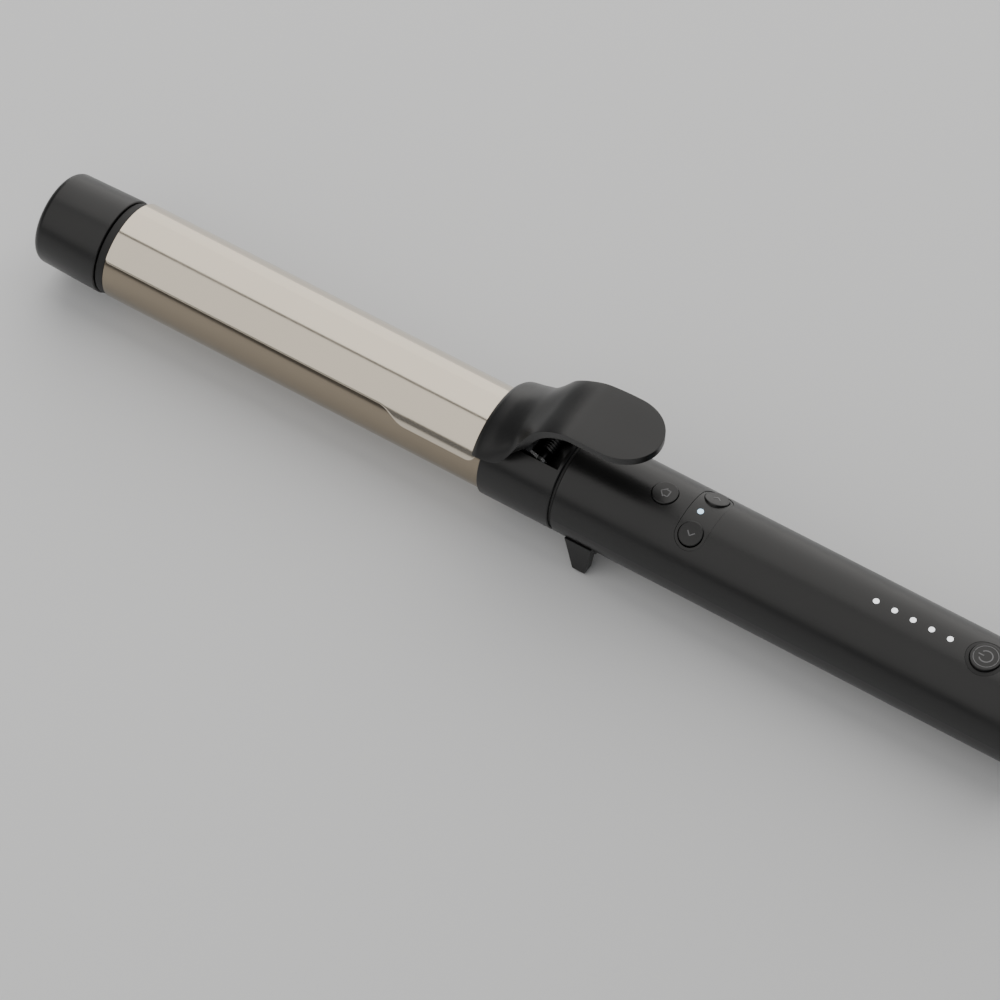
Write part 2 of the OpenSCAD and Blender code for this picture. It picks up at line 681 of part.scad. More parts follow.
module switch_carrier() color(dark) place() {
    x0 = panel_x - 4.6;
    x1 = cover_x - 0.3;
    box(x0, x1, carrier_half, board_z - 1.2, board_z - slip);
    for (s = [-1, 1]) intersection() {
        translate([x0, s > 0 ? neck_half + 0.1 : -board_half + 1, board_z - slip])
            cube([x1 - x0, board_half - 1 - neck_half - 0.1, 6]);
        rotate([-s * arrow_at, 0, 0]) box(x0 - cut, x1 + cut, body_r, 0, carrier_seat - slip);
    }
}
module tact_switches() color("#d8d8da") place() {
    box(home_x - switch_half, home_x + switch_half, switch_half, board_top, switch_top(home_r));
    box(power_x - switch_half, power_x + switch_half, switch_half, board_top, switch_top(power_r));
    for (s = [-1, 1]) rotate([s * arrow_at, 0, 0])
        box(panel_x - switch_half, panel_x + switch_half - 2.2, 2, carrier_seat, switch_top(arrow_r));
}
module control_panel() color(black) place() difference() {
    panel_shape(body_r - panel_depth + slip, body_r - panel_sink, -0.1);
    for (s = [-1, 1]) button_hole(panel_x, s * arrow_at, arrow_r);
    radial(panel_x - 1.3, 0, shell_ri, body_r + cut, light_r + slip);
}
module panel_light() color(clear) place() intersection() {
    radial(panel_x - 1.3, 0, shell_ri - 1.5, body_r + cut, light_r);
    rod(0, handle_len, body_r - panel_sink);
}
module indicator_lights() color(clear) place() intersection() {
    union() for (k = [0:light_count - 1])
        radial(light_x + k * light_pitch, 0, board_top + 0.05, body_r + cut, light_r);
    rod(0, handle_len, body_r);
}

// Buttons: a round cap, kept in by a flange under the shell
module button(x, at, r, top) difference() {
    union() {
        radial(x, at, flange_top(r) - slip, top, r);
        radial(x, at, button_foot(r), flange_top(r), r + flange_lip);
    }
    rotate([at, 0, 0]) translate([x, 0, top]) difference() {
        translate([0, 0, -0.35]) cylinder(h = 1, r = r + 0.5);
        translate([0, 0, -0.35]) cylinder(h = 0.351, r1 = r, r2 = r - 0.35);
    }
}
module home_button() color(black) place() button(home_x, 0, home_r, body_r + proud);
module arrow_button_near() color(black) place() button(panel_x, arrow_at, arrow_r, body_r + proud);
module arrow_button_far() color(black) place() button(panel_x, -arrow_at, arrow_r, body_r + proud);
module power_button() color(black) place() button(power_x, 0, power_r, body_r + proud);
module power_bezel() color(dark) place() intersection() {
    difference() {
        radial(power_x, 0, body_r - 1.8 + slip, body_r + cut, power_r + 1.3);
        radial(power_x, 0, body_r - 3, body_r + 2 * cut, power_r + button_gap);
    }
    rod(0, handle_len, body_r - 0.05);
}

module stand() color(black) place() difference() {
    union() {
        rotate([180, 0, 0]) turned([[stand_x0 + 0.6, body_r + slip], [stand_x0 + 0.6, body_r + stand_band],
            [stand_x1 - 0.6, body_r + stand_band], [stand_x1 - 0.6, body_r + slip]], 58);
        for (s = [-1, 1]) intersection() {
            side([[stand_x0, -7.5], [foot_x0, -axis_h + 1.2], [foot_x0 + 1.2, -axis_h],
                  [foot_x1 - 1.2, -axis_h], [foot_x1, -axis_h + 1.2], [stand_x1, -7.5]], body_r + 3);
            translate([stand_x0 - cut, 0, 0]) rotate([90, 0, 90]) linear_extrude(stand_x1 - stand_x0 + 2 * cut)
                polygon([for (p = [[body_r - 1, -7.5], [body_r - 0.6, -axis_h + 1], [body_r - 1.4, -axis_h],
                                   [body_r - 3.4, -axis_h], [body_r - 4.4, -axis_h + 1], [body_r - 5, -7.5]])
                         [s * p[0], p[1]]]);
        }
    }
    rod(0, handle_len, body_r + slip);
}

module tail_cap() color(black) place() difference() {
    union() {
        rod(handle_len - spigot_len, handle_len + 1, shell_ri - slip);
        turned(concat([[handle_len, 0], [handle_len, body_r]],
            [for (p = arc(tail_end - 5, body_r - 5, 5, 90, 0)) p], [[tail_end, 0]]));
    }
    rod(handle_len - spigot_len - cut, tail_end - 6, swivel_flange_r + free);
    rod(handle_len, tail_end + cut, swivel_r + run);
}
module cord_gland() color(dark) place() difference() {
    union() {
        rod(tail_end - 6.3 - swivel_flange_t, tail_end - 6.3, swivel_flange_r);
        rod(tail_end - 6.5, tail_end + 0.5, swivel_r);
        turned([[tail_end + 0.5, 0], [tail_end + 0.5, swivel_r + 1], [gland_end - 1, swivel_r - 0.6],
                [gland_end, swivel_r - 1.4], [gland_end, 0]]);
    }
    rod(0, gland_end + cut, cord_r);
}

tip_cap();
neck_ring();
barrel();
heat_spreader_upper();
heat_spreader_lower();
ptc_heater();
electrodes();
thermistor();
thermal_fuse();
heater_leads();
barrel_plug();
head_screws();
collar();
hinge_pin();
torsion_spring();
spindle();
spindle_clip();
slip_sleeve();
slip_rings();
planet_carrier();
planet_pins();
clamp_plate();
clamp_bracket();
clamp_rivets();
thumb_lever();
planet_gear_1();
planet_gear_2();
planet_gear_3();
sun_gear();
motor_shaft();
handle_shell_upper();
handle_shell_lower();
shell_screws();
seam_ring();
front_bush();
rear_bush();
gearbox_cover();
gearbox_housing();
motor_can();
motor_end_cap();
motor_screws();
brush_holder();
brushes();
front_board();
main_board();
board_parts();
switch_carrier();
tact_switches();
control_panel();
panel_light();
indicator_lights();
stand();
tail_cap();
home_button();
arrow_button_near();
arrow_button_far();
power_button();
power_bezel();
cord_gland();
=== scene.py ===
# %% [markdown]
# # A rotating curling iron
# The iron has a coated metal barrel under a spring clamp, a plastic head that turns with it,
# and a round handle with buttons and small lights.
# The solid model is already right in size and in its joints, so this notebook loads it as a
# fixed frame. Only the surfaces that an eye rests on are modelled again, more finely.

# %% Load the frame
import json
import math

import bmesh
import bpy
from mathutils import Matrix, Vector


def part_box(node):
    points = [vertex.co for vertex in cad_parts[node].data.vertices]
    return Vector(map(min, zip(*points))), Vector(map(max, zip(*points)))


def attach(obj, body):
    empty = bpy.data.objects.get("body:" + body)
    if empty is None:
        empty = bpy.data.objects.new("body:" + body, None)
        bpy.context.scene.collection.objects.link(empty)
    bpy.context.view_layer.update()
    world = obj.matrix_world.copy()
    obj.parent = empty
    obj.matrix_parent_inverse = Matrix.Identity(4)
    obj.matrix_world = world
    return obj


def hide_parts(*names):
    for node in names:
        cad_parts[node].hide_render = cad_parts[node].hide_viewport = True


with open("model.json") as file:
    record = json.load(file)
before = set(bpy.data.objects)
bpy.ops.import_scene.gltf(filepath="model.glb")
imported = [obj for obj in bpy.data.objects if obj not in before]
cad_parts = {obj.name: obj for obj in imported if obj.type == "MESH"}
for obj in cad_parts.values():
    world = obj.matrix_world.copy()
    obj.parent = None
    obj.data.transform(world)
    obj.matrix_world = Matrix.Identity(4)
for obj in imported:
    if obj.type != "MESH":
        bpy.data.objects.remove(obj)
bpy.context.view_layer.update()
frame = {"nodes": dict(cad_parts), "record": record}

# %% [markdown]
# Every place on this object is easiest to say from the seam between the turning head and the
# still handle, along the barrel's axis. So the next cell finds the seam and the axis in the
# frame, and `place` turns millimetres from there into Blender's metres.

# %% The seam, the axis and a way to say where things are
MM = 0.001
seam_low, seam_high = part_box("seam_ring")
SEAM_X = seam_high.x
AXIS_Z = (seam_low.z + seam_high.z) / 2


def place(along, across, up):
    """A point given in millimetres from the seam, from the axis sideways, and from the axis up."""
    return Vector((SEAM_X + along * MM, across * MM, AXIS_Z + up * MM))


def span_mm(node):
    """Where a node starts and ends along the axis, and its greatest radius, in millimetres."""
    low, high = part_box(node)
    return (low.x - SEAM_X) / MM, (high.x - SEAM_X) / MM, (high.y - low.y) / 2 / MM


BARREL_FRONT, BARREL_BACK, BARREL_R = span_mm("barrel")
RING_FRONT, _, RING_R = span_mm("neck_ring")
TIP_FRONT, _, TIP_R = span_mm("tip_cap")
CLAMP_FRONT, _, _ = span_mm("clamp_plate")
COLLAR_FRONT, COLLAR_BACK, BODY_R = span_mm("collar")
print("barrel", BARREL_FRONT, BARREL_R, "collar", COLLAR_FRONT, COLLAR_BACK, "radius", BODY_R)

# %% [markdown]
# The camera comes first.
# It stands far off with a long lens, high on the near side of the tip, so that
# parallel edges stay almost parallel. It looks at a point beside the seam.

# %% The camera
AZIMUTH, ELEVATION = math.radians(33), math.radians(53)
STAND_OFF = 1718.75 * MM
AIM_LEFT, AIM_BELOW = 24.6 * MM, 5.6 * MM  # how far the seam is from the middle of the picture
LENS, SENSOR = 198, 36

backward = Vector((
    math.sin(AZIMUTH) * math.cos(ELEVATION),
    -math.cos(AZIMUTH) * math.cos(ELEVATION),
    math.sin(ELEVATION),
))
rightward = Vector((math.cos(AZIMUTH), math.sin(AZIMUTH), 0))
upward = backward.cross(rightward)

camera_data = bpy.data.cameras.new("camera")
camera_data.sensor_width = SENSOR
camera_data.lens = LENS
camera = bpy.data.objects.new("camera", camera_data)
bpy.context.scene.collection.objects.link(camera)
camera.location = place(0, 0, 0) + STAND_OFF * backward - AIM_LEFT * rightward - AIM_BELOW * upward
camera.rotation_euler = Matrix((rightward, upward, backward)).transposed().to_euler()
bpy.context.scene.camera = camera
print("camera at", [round(value, 3) for value in camera.location])

# %% [markdown]
# Metal and satin plastic show mostly what they reflect. A studio for such an object is
# a plain pale floor and a few large soft boxes. A point on the barrel that leans away from
# the top by some angle reflects the direction at twice that angle, less the camera's own.
# So two boxes side by side, with a narrow gap, draw one fine dark line along the metal.

# %% The studio floor
FLOOR_HALF = 3.0
floor_bm = bmesh.new()
bmesh.ops.create_grid(floor_bm, x_segments=2, y_segments=2, size=FLOOR_HALF)
floor_mesh = bpy.data.meshes.new("studio_floor")
floor_bm.to_mesh(floor_mesh)
floor_bm.free()
floor = bpy.data.objects.new("studio_floor", floor_mesh)
bpy.context.scene.collection.objects.link(floor)

floor_paint = bpy.data.materials.new("pale floor")
floor_paint.use_nodes = True
floor_shader = floor_paint.node_tree.nodes["Principled BSDF"]
floor_shader.inputs["Base Color"].default_value = (0.80, 0.81, 0.82, 1)
floor_shader.inputs["Roughness"].default_value = 0.6
floor_mesh.materials.append(floor_paint)

# %% The soft boxes and the air
world = bpy.data.worlds.new("studio air")
bpy.context.scene.world = world
world.use_nodes = True
world.node_tree.nodes["Background"].inputs["Color"].default_value = (0.80, 0.82, 0.86, 1)
world.node_tree.nodes["Background"].inputs["Strength"].default_value = 0.17

CAMERA_LEAN = 32.3  # degrees from straight up toward the near side, seen along the axis
BOX_DISTANCE = 1.0
BOX_LENGTH = 1.7
BOX_STATION = -360  # middle of the boxes along the axis, in millimetres from the seam
BOX_TINT = (1, 0.98, 0.95)


def soft_box(name, lean_from, lean_to, brightness):
    """A long soft box that fills a range of angles, in degrees toward the near side."""
    middle = math.radians((lean_from + lean_to) / 2)
    width = 2 * BOX_DISTANCE * math.tan(math.radians(abs(lean_to - lean_from) / 2))
    lamp = bpy.data.lights.new(name, "AREA")
    lamp.shape = "RECTANGLE"
    lamp.size, lamp.size_y = BOX_LENGTH, width
    lamp.energy = brightness * math.pi * BOX_LENGTH * width
    lamp.color = BOX_TINT
    holder = bpy.data.objects.new(name, lamp)
    bpy.context.scene.collection.objects.link(holder)
    outward = Vector((0, -math.sin(middle), math.cos(middle)))
    holder.location = place(BOX_STATION, 0, 0) + BOX_DISTANCE * outward
    holder.rotation_euler = Matrix.Rotation(middle, 3, "X").to_euler()
    print(name, "is", round(width, 2), "m wide at", round(lamp.energy, 1), "W")


def lean_seen_at(angle):
    """Which way a point of the barrel at this angle from the top looks, mirrored to the camera."""
    return 2 * angle - CAMERA_LEAN


soft_box("overhead box", lean_seen_at(-12), lean_seen_at(18), 1.4)
soft_box("far box", lean_seen_at(-34), lean_seen_at(-12), 1.5)
soft_box("near box", lean_seen_at(20.4), lean_seen_at(55), 0.95)

# %% [markdown]
# Almost every finish here has a fine unevenness: moulded plastic has a faint orange peel,
# coated metal a finer one. One shader node group makes both. It takes how coarse and how
# strong the grain is, and gives a height for a Bump node and a mask that varies the gloss.

# %% A node group for fine surface grain
grain = bpy.data.node_groups.new("fine grain", "ShaderNodeTree")
grain.interface.new_socket(name="Vector", in_out="INPUT", socket_type="NodeSocketVector")
for name in ("Scale", "Roughness Low", "Roughness High"):
    grain.interface.new_socket(name=name, in_out="INPUT", socket_type="NodeSocketFloat")
for name in ("Height", "Roughness"):
    grain.interface.new_socket(name=name, in_out="OUTPUT", socket_type="NodeSocketFloat")

grain_in = grain.nodes.new("NodeGroupInput")
grain_out = grain.nodes.new("NodeGroupOutput")
fine_noise = grain.nodes.new("ShaderNodeTexNoise")
fine_noise.inputs["Detail"].default_value = 3
smudges = grain.nodes.new("ShaderNodeTexNoise")
smudges.inputs["Scale"].default_value = 45
smudges.inputs["Detail"].default_value = 2
gloss_range = grain.nodes.new("ShaderNodeMapRange")
gloss_range.inputs["From Min"].default_value = 0.3
gloss_range.inputs["From Max"].default_value = 0.7
for start, end in (
    (grain_in.outputs["Vector"], fine_noise.inputs["Vector"]),
    (grain_in.outputs["Vector"], smudges.inputs["Vector"]),
    (grain_in.outputs["Scale"], fine_noise.inputs["Scale"]),
    (smudges.outputs["Fac"], gloss_range.inputs["Value"]),
    (grain_in.outputs["Roughness Low"], gloss_range.inputs["To Min"]),
    (grain_in.outputs["Roughness High"], gloss_range.inputs["To Max"]),
    (fine_noise.outputs["Fac"], grain_out.inputs["Height"]),
    (gloss_range.outputs["Result"], grain_out.inputs["Roughness"]),
):
    grain.links.new(start, end)
print("grain group has", len(grain.nodes), "nodes")

# %% [markdown]
# A finish is then a Principled shader with that grain behind it. The function below keeps
# numbers that are the same all over a surface on the shader's own sockets.

# %% A helper that mixes a finish
GRAIN_HEIGHT = 0.05 * MM
COAT_ROUGHNESS = 0.12
PATCH_SCALE = 30


def finish_of(name, colour, gloss, grain_scale, grain_depth, metallic=0.0, coat=0.0,
              second_colour=None, stretch=(1, 1, 1)):
    """A material. gloss is its lowest and highest roughness, second_colour clouds the first."""
    material = bpy.data.materials.new(name)
    material.use_nodes = True
    tree = material.node_tree
    shader = tree.nodes["Principled BSDF"]
    shader.inputs["Base Color"].default_value = (*colour, 1)
    shader.inputs["Metallic"].default_value = metallic
    shader.inputs["Coat Weight"].default_value = coat
    shader.inputs["Coat Roughness"].default_value = COAT_ROUGHNESS
    where = tree.nodes.new("ShaderNodeTexCoord")
    turn = tree.nodes.new("ShaderNodeMapping")
    turn.inputs["Scale"].default_value = stretch
    texture = tree.nodes.new("ShaderNodeGroup")
    texture.node_tree = grain
    texture.inputs["Scale"].default_value = grain_scale
    texture.inputs["Roughness Low"].default_value = gloss[0]
    texture.inputs["Roughness High"].default_value = gloss[1]
    bump = tree.nodes.new("ShaderNodeBump")
    bump.inputs["Strength"].default_value = grain_depth
    bump.inputs["Distance"].default_value = GRAIN_HEIGHT
    tree.links.new(where.outputs["Object"], turn.inputs["Vector"])
    tree.links.new(turn.outputs["Vector"], texture.inputs["Vector"])
    tree.links.new(texture.outputs["Height"], bump.inputs["Height"])
    tree.links.new(texture.outputs["Roughness"], shader.inputs["Roughness"])
    tree.links.new(bump.outputs["Normal"], shader.inputs["Normal"])
    if second_colour:
        patches = tree.nodes.new("ShaderNodeTexNoise")
        patches.inputs["Scale"].default_value = PATCH_SCALE
        blend = tree.nodes.new("ShaderNodeMix")
        blend.data_type = "RGBA"
        blend.inputs["A"].default_value = (*colour, 1)
        blend.inputs["B"].default_value = (*second_colour, 1)
        tree.links.new(turn.outputs["Vector"], patches.inputs["Vector"])
        tree.links.new(patches.outputs["Fac"], blend.inputs["Factor"])
        tree.links.new(blend.outputs["Result"], shader.inputs["Base Color"])
    return material


# %% [markdown]
# The shells, the collar, the tip and the lever are one kind of satin black plastic.
# The control panel is the same plastic with a glossier skin, and the ring at the seam is matt.
# The clamp has a champagne coloured coating over metal. The barrel's coating is the same champagne
# painted darker, as a painted dark reflection of the surroundings.

# %% The visible finishes
satin_black = finish_of("satin black plastic", (0.007, 0.007, 0.007), (0.30, 0.36), 1500, 0.25,
                        second_colour=(0.009, 0.009, 0.009))
gloss_black = finish_of("smooth black plastic", (0.008, 0.008, 0.008), (0.30, 0.34), 900, 0.08,
                        second_colour=(0.010, 0.010, 0.010))
print_grey = finish_of("grey pad print", (0.16, 0.16, 0.165), (0.45, 0.55), 1500, 0.2,
                       second_colour=(0.20, 0.20, 0.205))
matt_black = finish_of("matt black plastic", (0.008, 0.008, 0.008), (0.55, 0.65), 2500, 0.4,
                       second_colour=(0.013, 0.013, 0.013))
champagne = finish_of("champagne coating", (0.70, 0.63, 0.52), (0.105, 0.125), 2600, 0.02, metallic=0.95,
                      second_colour=(0.72, 0.645, 0.53))
# The barrel's coating is a darker copy of the champagne: a painted dark reflection of the surroundings
# below the clamp's edge.
barrel_coat_painted_dark = finish_of("champagne coating with painted dark reflection", (0.30, 0.255, 0.195), (0.12, 0.15), 2600, 0.02,
                        metallic=0.95, second_colour=(0.32, 0.27, 0.205))

# %% [markdown]
# Inside the iron there are springs, bushes, gears, boards and a ceramic heater. They only
# show through the slot under the lever or with the shells off. Each gets the finish of its
# real material, except the torsion spring and the hinge pin, whose steel is painted near
# black as painted shade of the recess under the lever.

# %% The inner finishes
steel = finish_of("plated steel", (0.55, 0.56, 0.57), (0.22, 0.34), 1200, 0.2, metallic=1,
                  second_colour=(0.6, 0.6, 0.6))
# Steel painted near black, as painted shade of the recess under the lever that the spring and pin sit
# in.
recess_shade_steel = finish_of("steel painted dark as recess shade", (0.05, 0.05, 0.052), (0.30, 0.42), 1200, 0.2, metallic=1,
                       second_colour=(0.07, 0.07, 0.07))
aluminium = finish_of("drawn aluminium", (0.68, 0.69, 0.70), (0.3, 0.42), 900, 0.35, metallic=1,
                      second_colour=(0.72, 0.72, 0.73), stretch=(0.05, 1, 1))
brass = finish_of("turned brass", (0.66, 0.49, 0.20), (0.22, 0.32), 1400, 0.2, metallic=1,
                  second_colour=(0.7, 0.53, 0.24))
copper = finish_of("copper alloy", (0.70, 0.38, 0.22), (0.25, 0.36), 1400, 0.2, metallic=1,
                   second_colour=(0.62, 0.33, 0.2))
ceramic = finish_of("pressed ceramic", (0.78, 0.74, 0.66), (0.6, 0.72), 1800, 0.5,
                    second_colour=(0.7, 0.66, 0.58))
board_green = finish_of("circuit board", (0.03, 0.17, 0.08), (0.25, 0.35), 700, 0.3, coat=0.3,
                        second_colour=(0.04, 0.22, 0.10))
part_blue = finish_of("moulded component", (0.05, 0.10, 0.30), (0.35, 0.45), 1500, 0.3,
                      second_colour=(0.06, 0.12, 0.34))
switch_grey = finish_of("switch body", (0.62, 0.62, 0.63), (0.4, 0.5), 1500, 0.3,
                        second_colour=(0.56, 0.56, 0.57))
carbon = finish_of("copper graphite", (0.03, 0.028, 0.027), (0.45, 0.6), 2500, 0.6,
                   second_colour=(0.06, 0.05, 0.045))


def lamp_finish(name, colour, strength):
    """A clear cap with a light behind it."""
    material = finish_of(name, colour, (0.15, 0.2), 500, 0.05, coat=0.5)
    shader = material.node_tree.nodes["Principled BSDF"]
    shader.inputs["Emission Color"].default_value = (*colour, 1)
    shader.inputs["Emission Strength"].default_value = strength
    return material


white_light = lamp_finish("white light", (0.95, 0.97, 1.0), 1.1)
blue_light = lamp_finish("pale blue light", (0.55, 0.80, 1.0), 1.2)

# %% [markdown]
# The record names a material slot for each part. Most parts take the finish of their slot,
# and a few take one of their own.

# %% Put a finish on every carried-over part
SLOT_FINISH = {
    "black_plastic": satin_black, "dark_plastic": matt_black, "champagne_metal": champagne,
    "steel": steel, "aluminium": aluminium, "brass": brass, "copper": copper, "ceramic": ceramic,
    "circuit_board": board_green, "board_blue": part_blue, "switch_grey": switch_grey,
    "carbon": carbon, "light_clear": white_light,
}
# The torsion spring and the hinge pin take the steel painted dark as shade of their recess.
OWN_FINISH = {
    "control_panel": gloss_black, "panel_light": blue_light, "torsion_spring": recess_shade_steel,
    "hinge_pin": recess_shade_steel,
}
for row in frame["record"]["subparts"]:
    node = row["node"]
    finish = OWN_FINISH.get(node) or SLOT_FINISH[row["material_slot"]]
    part = frame["nodes"][node]
    for material_slot in part.material_slots:
        material_slot.material = finish
    if not part.material_slots:
        part.data.materials.append(finish)
print("finished", len(frame["nodes"]), "parts")

# %% [markdown]
# New pieces go through one door. It closes the mesh's doubles, turns the faces outward,
# smooths them except at real edges, and says which body the piece moves with.

# %% A helper that makes a piece
MERGE_DISTANCE = 0.002 * MM
SHARP_ANGLE = math.radians(32)


def make_piece(name, bm, finish, body, replaces=()):
    bmesh.ops.remove_doubles(bm, verts=bm.verts, dist=MERGE_DISTANCE)
    bmesh.ops.recalc_face_normals(bm, faces=bm.faces)
    mesh = bpy.data.meshes.new(name)
    bm.to_mesh(mesh)
    bm.free()
    mesh.materials.append(finish)
    mesh.shade_smooth()
    mesh.set_sharp_from_angle(angle=SHARP_ANGLE)
    piece = bpy.data.objects.new(name, mesh)
    bpy.context.scene.collection.objects.link(piece)
    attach(piece, body)
    if replaces:
        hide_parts(*replaces)
    print(name, len(mesh.polygons), "faces")
    return piece


# %% [markdown]
# The clamp and the lever are thin skins. A Solidify modifier gives a skin its thickness, and
# a Bevel rounds the cut edges, which catch the light.

# %% A helper that thickens a skin


def thicken(piece, thickness, offset, edge_width, edge_steps, edge_angle):
    """Lengths are in millimetres, and the angle says which edges are cut edges, in degrees."""
    wall = piece.modifiers.new("thickness", "SOLIDIFY")
    wall.thickness = thickness * MM
    wall.offset = offset
    edge = piece.modifiers.new("rounded edge", "BEVEL")
    edge.width = edge_width * MM
    edge.segments = edge_steps
    edge.limit_method = "ANGLE"
    edge.angle_limit = math.radians(edge_angle)
    return wall


# %% [markdown]
# Barrel, ring and tip are turned parts: half a profile, spun once round the axis.
# A rounded corner is worth having even on a sharp looking part, because its thin
# highlight is what tells the eye that the edge is real. `rounded` puts an arc in place
# of each corner of a profile.

# %% Helpers for turned parts


def rounded(corners, steps=6):
    """A profile of (along, radius, rounding) corners in millimetres, with each corner rounded."""
    points = []
    for index, (x, r, radius) in enumerate(corners):
        here = Vector((x, r))
        if not radius or index in (0, len(corners) - 1):
            points.append(here)
            continue
        before = (Vector(corners[index - 1][:2]) - here).normalized()
        after = (Vector(corners[index + 1][:2]) - here).normalized()
        half = before.angle(after) / 2
        reach = radius / math.tan(half)
        centre = here + (before + after).normalized() * radius / math.sin(half)
        first, last = here + before * reach - centre, here + after * reach - centre
        for step in range(steps + 1):
            share = step / steps
            turn = first.angle_signed(last) * share
            points.append(centre + Matrix.Rotation(-turn, 2) @ first)
    return points


def profile_to_mesh(points):
    """A line of edges through (along, radius) points, on top of the barrel."""
    bm = bmesh.new()
    verts = [bm.verts.new(place(p[0], 0, p[1])) for p in points]
    for one, other in zip(verts, verts[1:]):
        bm.edges.new((one, other))
    return bm


TURN_STEPS = 160


def turned(points):
    """A profile spun all the way round the barrel's axis."""
    bm = profile_to_mesh(points)
    bmesh.ops.spin(bm, geom=bm.verts[:] + bm.edges[:], cent=place(0, 0, 0), axis=(1, 0, 0),
                   angle=2 * math.pi, steps=TURN_STEPS, use_merge=True)
    return bm


# %% The barrel, the neck ring and the cool tip
INNER = BARREL_R - 1.2
PLUG_R = INNER - 3  # where the ring and the tip go on inside, out of sight
RING_BACK = BARREL_FRONT - 0.1
barrel_line = rounded([
    (BARREL_FRONT, INNER, 0), (BARREL_FRONT, BARREL_R, 0.25), (BARREL_BACK, BARREL_R, 0.2),
    (BARREL_BACK, INNER, 0), (BARREL_FRONT, INNER, 0)])
# The barrel tube takes the champagne coating painted darker, as a painted dark reflection.
make_piece("barrel_tube", turned(barrel_line), barrel_coat_painted_dark, "head", ["barrel"])

neck_line = rounded([
    (RING_FRONT, PLUG_R, 0), (RING_FRONT, RING_R, 0.3), (RING_BACK, RING_R, 0.3),
    (RING_BACK, PLUG_R, 0), (RING_FRONT, PLUG_R, 0)])
make_piece("neck_ring_turned", turned(neck_line), matt_black, "head", ["neck_ring"])

TIP_BACK = RING_FRONT - 0.35
TIP_TAPER = math.radians(1.5)
tip_end_r = TIP_R - math.tan(TIP_TAPER) * (TIP_BACK - TIP_FRONT)
tip_line = rounded([
    (TIP_FRONT + 0.5, 0, 0), (TIP_FRONT, tip_end_r - 5, 2.5), (TIP_FRONT, tip_end_r, 2.8),
    (TIP_BACK, TIP_R, 0.5), (TIP_BACK, PLUG_R, 0)], steps=10)
make_piece("cool_tip", turned(tip_line), satin_black, "head", ["tip_cap"])

# %% [markdown]
# The clamp plate is a curved sheet that hugs the barrel. It starts as a straight line
# of points along the top, spun part of the way round each side. Then each point slides
# round the barrel by a share of its angle, so that the plate is narrow over most of its
# length, widens before the collar, and has rounded corners.

# %% The outline of the clamp plate
CLAMP_R = BARREL_R + 0.35
CLAMP_SHEET = 0.85
CLAMP_BACK = COLLAR_FRONT - 1.6
NARROW, WIDE = math.radians(56), math.radians(68.3)
STEP_START, STEP_END = COLLAR_FRONT - 38, COLLAR_FRONT - 28
FRONT_CORNER, BACK_CORNER = 1.2, 3.2


def eased(share):
    """Goes from 0 to 1 with a gentle start and end."""
    share = min(max(share, 0.0), 1.0)
    return share * share * (3 - 2 * share)


def clamp_half_angle(x):
    """How far the plate reaches round the barrel on each side, at a station."""
    half = NARROW + (WIDE - NARROW) * eased((x - STEP_START) / (STEP_END - STEP_START))
    for edge, corner in ((CLAMP_FRONT, FRONT_CORNER), (CLAMP_BACK, BACK_CORNER)):
        inside = min(abs(x - edge) / corner, 1.0)
        half -= corner / CLAMP_R * (1 - math.sqrt(1 - (1 - inside) ** 2))
    return half


# %% The clamp plate
EVEN_COUNT, END_COUNT, END_LENGTH = 90, 9, 3.4
ROUND_STEPS = 64
SPUN = math.radians(90)


def stations(start, end):
    """Points along the axis, closer together near both ends."""
    crowd = [END_LENGTH * (1 - math.cos(math.pi / 2 * i / END_COUNT)) for i in range(END_COUNT)]
    even_length = end - start - 2 * END_LENGTH
    between = [start + END_LENGTH + even_length * i / EVEN_COUNT for i in range(EVEN_COUNT + 1)]
    return [start + step for step in crowd] + between + [end - step for step in crowd][::-1]


clamp_bm = profile_to_mesh([(x, CLAMP_R) for x in stations(CLAMP_FRONT, CLAMP_BACK)])
bmesh.ops.rotate(clamp_bm, verts=clamp_bm.verts, cent=place(0, 0, 0),
                 matrix=Matrix.Rotation(-SPUN, 3, "X"))
bmesh.ops.spin(clamp_bm, geom=clamp_bm.verts[:] + clamp_bm.edges[:], cent=place(0, 0, 0),
               axis=(1, 0, 0), angle=2 * SPUN, steps=ROUND_STEPS)
for vert in clamp_bm.verts:
    x = (vert.co.x - SEAM_X) / MM
    angle = math.atan2(vert.co.y, vert.co.z - AXIS_Z) * clamp_half_angle(x) / SPUN
    vert.co = place(x, CLAMP_R * math.sin(angle), CLAMP_R * math.cos(angle))
clamp = make_piece("clamp_sheet", clamp_bm, champagne, "clamp", ["clamp_plate"])
faces_up = clamp.data.polygons[len(clamp.data.polygons) // 2].normal.z > 0
thicken(clamp, CLAMP_SHEET, offset=1 if faces_up else -1, edge_width=0.22, edge_steps=2, edge_angle=60)

# %% [markdown]
# The thumb lever is the shape that gives this iron its character. A saddle hugs the back of
# the clamp, and a strap rises from it in an S to a level paddle. It is lofted: at each
# station along the lever there is a cross-section that is partly an arc round the barrel
# and partly flat, and the share changes along the way. The loft starts as a plain grid
# whose rows are stations, and every point is then moved to its place on its section.

# %% The sections of the lever
LEVER_FRONT = COLLAR_FRONT - 2.0
LEVER_END = 29.0
OUTLINE_START = 15.0  # where the paddle's round end begins
